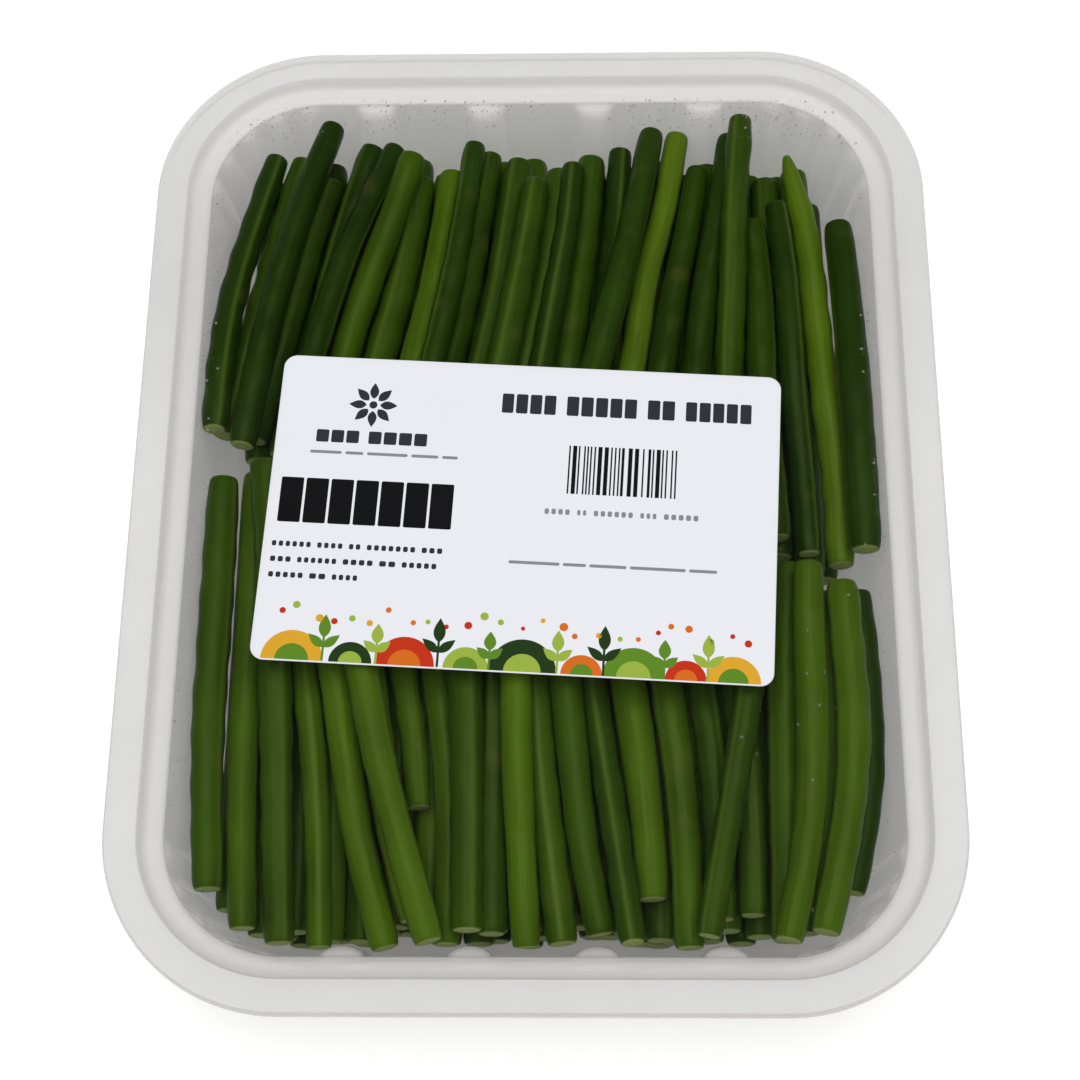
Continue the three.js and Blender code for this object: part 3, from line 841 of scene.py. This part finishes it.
ink_points, ink_faces, ink_of = [], [], []
for ink, layer, loop in shapes:
    low = LABEL_THICK - INK_DEPTH
    top = LABEL_THICK + INK_THICK + LAYER_STEP * layer
    start, count = len(ink_points), len(loop)
    ink_points += [on_label(u, v, low) for u, v in loop] + [on_label(u, v, top) for u, v in loop]
    ink_faces.append(tuple(reversed(range(start, start + count))))
    ink_faces.append(tuple(range(start + count, start + 2 * count)))
    for i in range(count):
        j = (i + 1) % count
        ink_faces.append((start + i, start + j, start + count + j, start + count + i))
    ink_of += [ink_names.index(ink)] * (count + 2)
ink_materials = [
    grained(f"{name} ink", colour, 0.6, gloss=0.05, cloud=60, grain=3000, contrast=0.08, bump=0.1)
    for name, colour in INKS.items()
]
label_print = mesh_object("label_print", ink_points, ink_faces, ink_materials, smooth=False)
label_print.data.polygons.foreach_set("material_index", ink_of)
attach(label_print, "root")

# Drops
# The beans' breath settles as fine drops under the film, in patches near the rim, and a few
# drops stand on the pods by the right wall.
LONG_WALL_BAND, LONG_WALL_FADE = 16.5, 2
FAR_WALL_BAND, FAR_WALL_FADE = 22, 4
CORNER_BAND = 36
POD_DROPS_MIDDLE = (52, -40)
POD_DROPS_REACH = (17, 36)


def drop_tree():
    """Scatters low domes over a surface, thickest where its damp attribute is high."""
    tree = bpy.data.node_groups.new("drops", "GeometryNodeTree")
    face = tree.interface
    face.new_socket("Geometry", in_out="INPUT", socket_type="NodeSocketGeometry")
    for name in ("Per Square Metre", "Smallest", "Largest", "Height"):
        face.new_socket(name, in_out="INPUT", socket_type="NodeSocketFloat")
    face.new_socket("Seed", in_out="INPUT", socket_type="NodeSocketInt")
    face.new_socket("Water", in_out="INPUT", socket_type="NodeSocketMaterial")
    face.new_socket("Geometry", in_out="OUTPUT", socket_type="NodeSocketGeometry")
    given = tree.nodes.new("NodeGroupInput").outputs
    damp = add_node(tree, "GeometryNodeInputNamedAttribute", {"Name": "damp"}, data_type="FLOAT").outputs[0]
    spots = add_node(
        tree,
        "GeometryNodeDistributePointsOnFaces",
        {
            "Mesh": given["Geometry"],
            "Density": maths(tree, "MULTIPLY", damp, given["Per Square Metre"]),
            "Seed": given["Seed"],
        },
    )
    dome = add_node(
        tree, "GeometryNodeMeshUVSphere", {"Segments": 8, "Rings": 5, "Radius": 1.0}
    ).outputs[0]
    dome = add_node(tree, "GeometryNodeSetShadeSmooth", {"Geometry": dome}).outputs[0]
    chance = add_node(tree, "FunctionNodeRandomValue", {"Seed": given["Seed"]}, data_type="FLOAT").outputs[1]
    share = maths(tree, "POWER", chance, 2.5)
    spread = maths(tree, "SUBTRACT", given["Largest"], given["Smallest"])
    size = maths(tree, "ADD", given["Smallest"], maths(tree, "MULTIPLY", share, spread))
    rise = maths(tree, "MULTIPLY", size, given["Height"])
    scale = add_node(tree, "ShaderNodeCombineXYZ", {"X": size, "Y": size, "Z": rise}).outputs[0]
    drops = add_node(
        tree,
        "GeometryNodeInstanceOnPoints",
        {
            "Points": spots.outputs["Points"],
            "Instance": dome,
            "Rotation": spots.outputs["Rotation"],
            "Scale": scale,
        },
    ).outputs[0]
    drops = add_node(tree, "GeometryNodeRealizeInstances", {"Geometry": drops}).outputs[0]
    drops = add_node(
        tree, "GeometryNodeSetMaterial", {"Geometry": drops, "Material": given["Water"]}
    ).outputs[0]
    tree.links.new(drops, tree.nodes.new("NodeGroupOutput").inputs[0])
    return tree


DROP_TREE = drop_tree()
water = grained(
    "water drops", (0.36, 0.36, 0.35), 0.05, alpha=0.3, cloud=200, detail=0, contrast=0.2, bump=0
)


def drops(name, mesh, **settings):
    """One mesh of the drops that stand on the given surface."""
    holder = bpy.data.objects.new(name + "_ground", mesh)
    bpy.context.scene.collection.objects.link(holder)
    modifier = holder.modifiers.new("drops", "NODES")
    modifier.node_group = DROP_TREE
    settings["Water"] = water
    for item in DROP_TREE.interface.items_tree:
        if item.in_out == "INPUT" and item.name in settings:
            modifier[item.identifier] = settings[item.name]
    made = bpy.data.meshes.new_from_object(holder.evaluated_get(bpy.context.evaluated_depsgraph_get()))
    bpy.data.objects.remove(holder)
    bpy.data.meshes.remove(mesh)
    piece = bpy.data.objects.new(name, made)
    bpy.context.scene.collection.objects.link(piece)
    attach(piece, "root")
    return piece


def damp_patch(x, y):
    """How thick the drops are at a place under the film: patches that follow the tray's wall."""
    far_band = FAR_WALL_BAND + (CORNER_BAND - FAR_WALL_BAND) * (2 * x / TRAY_WIDTH) ** 4
    by_long_wall = (LONG_WALL_BAND - TRAY_WIDTH / 2 + abs(x)) / LONG_WALL_FADE
    by_far_wall = (far_band - TRAY_LENGTH / 2 + y) / FAR_WALL_FADE
    near_wall = min(max(by_long_wall, by_far_wall, 0.0), 1.0)
    patch = noise.noise(Vector((x * 0.05, y * 0.05, 21.0)))
    patch += 0.4 * noise.noise(Vector((x * 0.13, y * 0.13, 4.0)))
    return near_wall * min(max(patch * 2.2 + 0.6, 0.0), 1.0)


PATCH_STEP = 3
reach_x, reach_y = TRAY_WIDTH / 2 - LEDGE_INSET - 2, TRAY_LENGTH / 2 - LEDGE_INSET - 2
columns, rows = int(2 * reach_x / PATCH_STEP), int(2 * reach_y / PATCH_STEP)
corner = TRAY_CORNER - LEDGE_INSET - 2
patch_points, patch_faces, damp = [], [], []
for j in range(rows + 1):
    for i in range(columns + 1):
        x, y = -reach_x + 2 * reach_x * i / columns, -reach_y + 2 * reach_y * j / rows
        over = math.hypot(max(abs(x) - reach_x + corner, 0), max(abs(y) - reach_y + corner, 0))
        edge = min(TRAY_WIDTH / 2 - abs(x), TRAY_LENGTH / 2 - abs(y))
        patch_points.append((x * MM, y * MM, (FILM_FOOT + film_lift(x, y, edge)) * MM))
        damp.append(0.0 if over > corner else damp_patch(x, y))
for j in range(rows):
    for i in range(columns):
        a = j * (columns + 1) + i
        patch_faces.append((a, a + columns + 1, a + columns + 2, a + 1))
under_film = bpy.data.meshes.new("under film")
under_film.from_pydata(patch_points, [], patch_faces)
under_film.attributes.new("damp", "FLOAT", "POINT").data.foreach_set("value", damp)
drops(
    "film_drops",
    under_film,
    **{"Per Square Metre": 600000.0, "Smallest": 0.12 * MM, "Largest": 0.38 * MM, "Height": 0.5, "Seed": 3},
)

wet_pods = bpy.data.objects["near_beans"].data.copy()
spots = np.empty(3 * len(wet_pods.vertices), dtype=np.float32)
wet_pods.vertices.foreach_get("co", spots)
spots = spots.reshape(-1, 3) / MM
far_off = (spots[:, :2] - POD_DROPS_MIDDLE) / POD_DROPS_REACH
wetness = np.exp(-(far_off**2).sum(axis=1)).astype(np.float32)
wet_pods.attributes.new("damp", "FLOAT", "POINT").data.foreach_set("value", wetness)
drops(
    "pod_drops",
    wet_pods,
    **{"Per Square Metre": 9000.0, "Smallest": 0.15 * MM, "Largest": 0.5 * MM, "Height": 0.6, "Seed": 5},
)

# Floor, light and camera
# The tray stands on a plain pale floor under one broad soft light. The camera looks down on it
# from above its near end.
bpy.ops.mesh.primitive_plane_add(size=6, location=(0, 0, -0.1 * MM))
floor = bpy.context.object
floor.name = "floor"
floor_paint = bpy.data.materials.new("floor")
floor_paint.use_nodes = True
shader = floor_paint.node_tree.nodes["Principled BSDF"]
shader.inputs["Base Color"].default_value = (0.93, 0.93, 0.93, 1)
shader.inputs["Roughness"].default_value = 0.9
shader.inputs["Emission Color"].default_value = (1, 1, 1, 1)
shader.inputs["Emission Strength"].default_value = 0.35
floor.data.materials.append(floor_paint)

world = bpy.data.worlds.new("studio")
world.use_nodes = True
world.node_tree.nodes["Background"].inputs["Color"].default_value = (1, 1, 1, 1)
world.node_tree.nodes["Background"].inputs["Strength"].default_value = 0.3
bpy.context.scene.world = world


softbox = bpy.data.lights.new("overhead softbox", "AREA")
softbox.shape = "RECTANGLE"
softbox.size, softbox.size_y = 1.3, 1.3
softbox.energy = 13.7
lamp = bpy.data.objects.new("overhead softbox", softbox)
lamp_place = Vector((0.03, 0.0, 1.3))
lamp_turn = (lamp_place - Vector((0, 0, 0.03))).to_track_quat("Z", "Y").to_matrix().to_4x4()
lamp.matrix_world = Matrix.Translation(lamp_place) @ lamp_turn
bpy.context.scene.collection.objects.link(lamp)

camera_data = bpy.data.cameras.new("camera")
camera_data.sensor_width = 36
camera_data.lens = 36 * 2060 / 1080
camera_data.clip_start = 0.01
camera = bpy.data.objects.new("camera", camera_data)
right = Vector((0.99968241, 0.00668462, -0.02429797))
up = Vector((0.00278717, 0.92893542, 0.37023129))
back = Vector((0.0250461, -0.37018143, 0.92862177))
camera_turn = Matrix((right, up, back)).transposed().to_4x4()
camera.matrix_world = Matrix.Translation((0.01205, -0.1769, 0.45364)) @ camera_turn
bpy.context.scene.collection.objects.link(camera)
bpy.context.scene.camera = camera
bpy.context.scene.view_settings.view_transform = "Standard"
